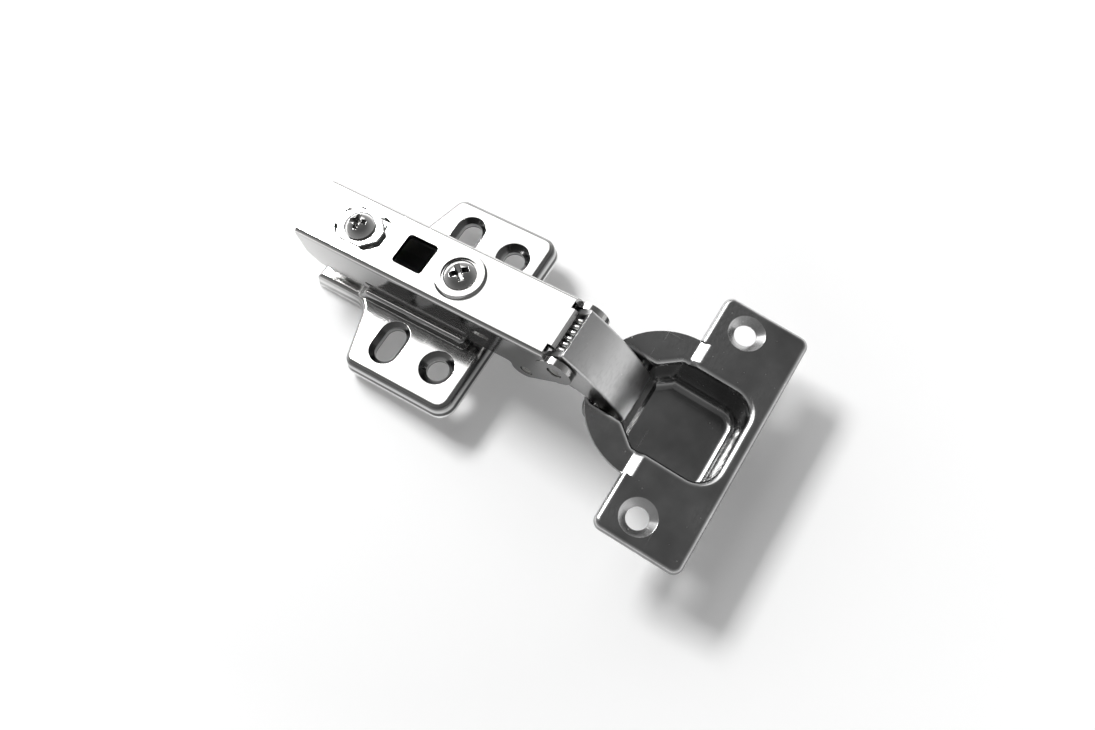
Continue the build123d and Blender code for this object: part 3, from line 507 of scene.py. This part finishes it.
def latheForm(profile, count, place, axis="Z"):
    # Turned form from (radius, height) points in mm; the first and last lie on the axis.
    verts, faces = [], []
    for radius, height in profile:
        for k in range(count if radius > 0 else 1):
            angle = 2 * math.pi * k / count
            across, along = radius * math.cos(angle), radius * math.sin(angle)
            point = (across, along, height) if axis == "Z" else (across, height, along)
            verts.append(tuple((a + b) * mm for a, b in zip(point, place)))
    rings, start = [], 0
    for radius, height in profile:
        size = count if radius > 0 else 1
        rings.append([start + k for k in range(size)])
        start += size
    for upper, lower in zip(rings, rings[1:]):
        for k in range(count):
            nxt = (k + 1) % count
            if len(upper) == 1:
                faces.append((upper[0], lower[k], lower[nxt]))
            elif len(lower) == 1:
                faces.append((upper[k], lower[0], upper[nxt]))
            else:
                faces.append((upper[k], lower[k], lower[nxt], upper[nxt]))
    return verts, faces


# Both screws share these: points on a turn of the thread, how deep its root sits in the shaft,
# half its width as a share of the pitch, and what stays plain at its two ends.
threadFacts = {"steps": 28, "rootDepth": 0.08, "halfWidth": 0.36, "plainEnd": 0.5}


def threadForm(facts, place):
    # One closed ridge that winds round the shaft and fades out at both ends.
    low = facts["end"] + threadFacts["plainEnd"]
    high = facts["headBase"] - threadFacts["plainEnd"]
    steps, pitch, shaft = threadFacts["steps"], facts["pitch"], facts["shaftRadius"]
    inner, half = shaft - threadFacts["rootDepth"], threadFacts["halfWidth"]
    verts, faces = [], []
    total = int((high - low) / pitch * steps)
    for k in range(total + 1):
        angle = 2 * math.pi * k / steps
        rise = low + pitch * k / steps
        fade = min(1.0, k / steps, (total - k) / steps)
        crest = shaft + (facts["threadRadius"] - shaft) * fade
        for radius, shift in ((inner, -half), (crest, 0.0), (inner, half)):
            point = (radius * math.cos(angle), radius * math.sin(angle), rise + shift * pitch)
            verts.append(tuple((a + b) * mm for a, b in zip(point, place)))
    for k in range(total):
        a, b = 3 * k, 3 * k + 3
        for i in range(3):
            j = (i + 1) % 3
            faces.append((a + i, a + j, b + j, b + i))
    faces += [(0, 1, 2), (3 * total + 2, 3 * total + 1, 3 * total)]
    return verts, faces


# Screws: domed heads with a cross recess, and threads down to the point. Lengths are in mm from
# the top of the CAD head; a higher flatness makes a flatter dome.
screwFacts = {
    "depthScrew": {
        "node": "depth_screw", "body": "depth_screw_body", "x": -15.0,
        "headRadius": 3.6, "headBase": -2.28, "domeEdge": -1.9, "domeTop": 0.0, "flatness": 2.4,
        "shaftRadius": 1.62, "threadRadius": 2.0, "pitch": 0.8, "end": -11.9,
        "reach": 3.3, "width": 1.75, "depth": 1.9, "taper": 0.22, "turn": 17.0,
    },
    "sideScrew": {
        "node": "side_screw", "body": "side_screw_body", "x": 12.2,
        "headRadius": 3.72, "headBase": -0.84, "domeEdge": -0.66, "domeTop": 0.75,
        "flatness": 2.3,
        "shaftRadius": 1.85, "threadRadius": 2.25, "pitch": 0.8, "end": -8.0,
        "reach": 3.6, "width": 1.95, "depth": 2.0, "taper": 0.22, "turn": 47.0,
    },
}
headChamfer = 0.12
tipLength, tipTaper = 0.6, 0.5
cutterRise = 1.0  # how far the cross cutter stands above the dome
domeRings = 18
turnedSides = 72


def crossForm(facts, place, top):
    # Tapered cross that cuts the recess.
    half, reach = facts["width"] / 2, facts["reach"]
    outline = [
        (half, half), (reach, half), (reach, -half), (half, -half),
        (half, -reach), (-half, -reach), (-half, -half), (-reach, -half),
        (-reach, half), (-half, half), (-half, reach), (half, reach),
    ]
    verts, faces = [], []
    angle = math.radians(facts["turn"])
    for level, size in ((top + cutterRise, 1.0), (top - facts["depth"], facts["taper"])):
        for x, y in outline:
            across = size * (x * math.cos(angle) - y * math.sin(angle))
            along = size * (x * math.sin(angle) + y * math.cos(angle))
            point = (across, along, level)
            verts.append(tuple((a + b) * mm for a, b in zip(point, place)))
    faces.append(tuple(range(12)))
    faces.append(tuple(reversed(range(12, 24))))
    for k in range(12):
        faces.append((k, (k + 1) % 12, 12 + (k + 1) % 12, 12 + k))
    return verts, faces


def smoothPiece(piece, angle):
    # Smooth shading with sharp edges above the angle, in degrees.
    mesh = piece.data
    work = bmesh.new()
    work.from_mesh(mesh)
    for face in work.faces:
        face.smooth = True
    for edge in work.edges:
        if len(edge.link_faces) == 2:
            edge.smooth = edge.calc_face_angle(0.0) < math.radians(angle)
    work.to_mesh(mesh)
    work.free()


def headProfile(facts):
    radius, rise = facts["headRadius"], facts["domeTop"] - facts["domeEdge"]
    base, shaft, end = facts["headBase"], facts["shaftRadius"], facts["end"]
    profile = [(0.0, facts["domeTop"])]
    for k in range(1, domeRings + 1):
        share = math.sin(math.pi / 2 * k / domeRings)
        profile.append((radius * share, facts["domeTop"] - rise * share ** facts["flatness"]))
    profile += [(radius, base + headChamfer), (radius - headChamfer, base)]
    profile += [(shaft, base), (shaft, end + tipLength)]
    profile += [(shaft - tipTaper, end), (0.0, end)]
    return profile


def makeScrew(name, facts):
    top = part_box(facts["node"])[1].z / mm
    place = (facts["x"], 0.0, top)
    paint = paints["screw"]
    head = meshPiece(name, *latheForm(headProfile(facts), turnedSides, place), paint)
    cross = crossForm(facts, place, facts["domeTop"])
    cutter = meshPiece("cutter", *cross, paint)
    cut = head.modifiers.new("recess", "BOOLEAN")
    cut.object = cutter
    cut.solver = "EXACT"
    bpy.context.view_layer.update()
    ready = head.evaluated_get(bpy.context.evaluated_depsgraph_get())
    mesh = bpy.data.meshes.new_from_object(ready)
    head.modifiers.clear()
    head.data = mesh
    bpy.data.objects.remove(cutter)
    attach(head, facts["body"])
    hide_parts(facts["node"])
    ridge = threadForm(facts, place)
    thread = meshPiece(name + "Thread", *ridge, paint, facts["body"], "screw_nickel")
    smoothPiece(head, 40)
    smoothPiece(thread, 40)


for screwName, facts in screwFacts.items():
    makeScrew(screwName, facts)
print("screws done")

# Peened ends of the two link pins, in the arm's walls, in a near-black finish that is painted
# shade for their sunk holes; place is x and z in mm.
# The profile gives shares of the radius and distances from the middle plane in mm.
pinFacts = {
    "frontPin": {"place": (40.2, 13.9), "radius": 1.72},
    "rearPin": {"place": (32.2, 6.7), "radius": 1.47},
}
peenedProfile = (
    (0.0, 7.78), (0.34, 7.76), (0.46, 7.66), (0.56, 7.56), (0.66, 7.66),
    (0.80, 7.76), (0.92, 7.70), (0.97, 7.45), (0.0, 7.40),
)
pinSides = 48
for pinName, facts in pinFacts.items():
    for endName, side in (("Right", -1), ("Left", 1)):
        turned = [(share * facts["radius"], side * height) for share, height in peenedProfile]
        place = (facts["place"][0], 0.0, facts["place"][1])
        form = latheForm(turned, pinSides, place, "Y")
        piece = meshPiece(pinName + endName, *form, paints["shadedPinEnd"], "arm_body", "pin_steel")
        smoothPiece(piece, 50)
print("pins done")
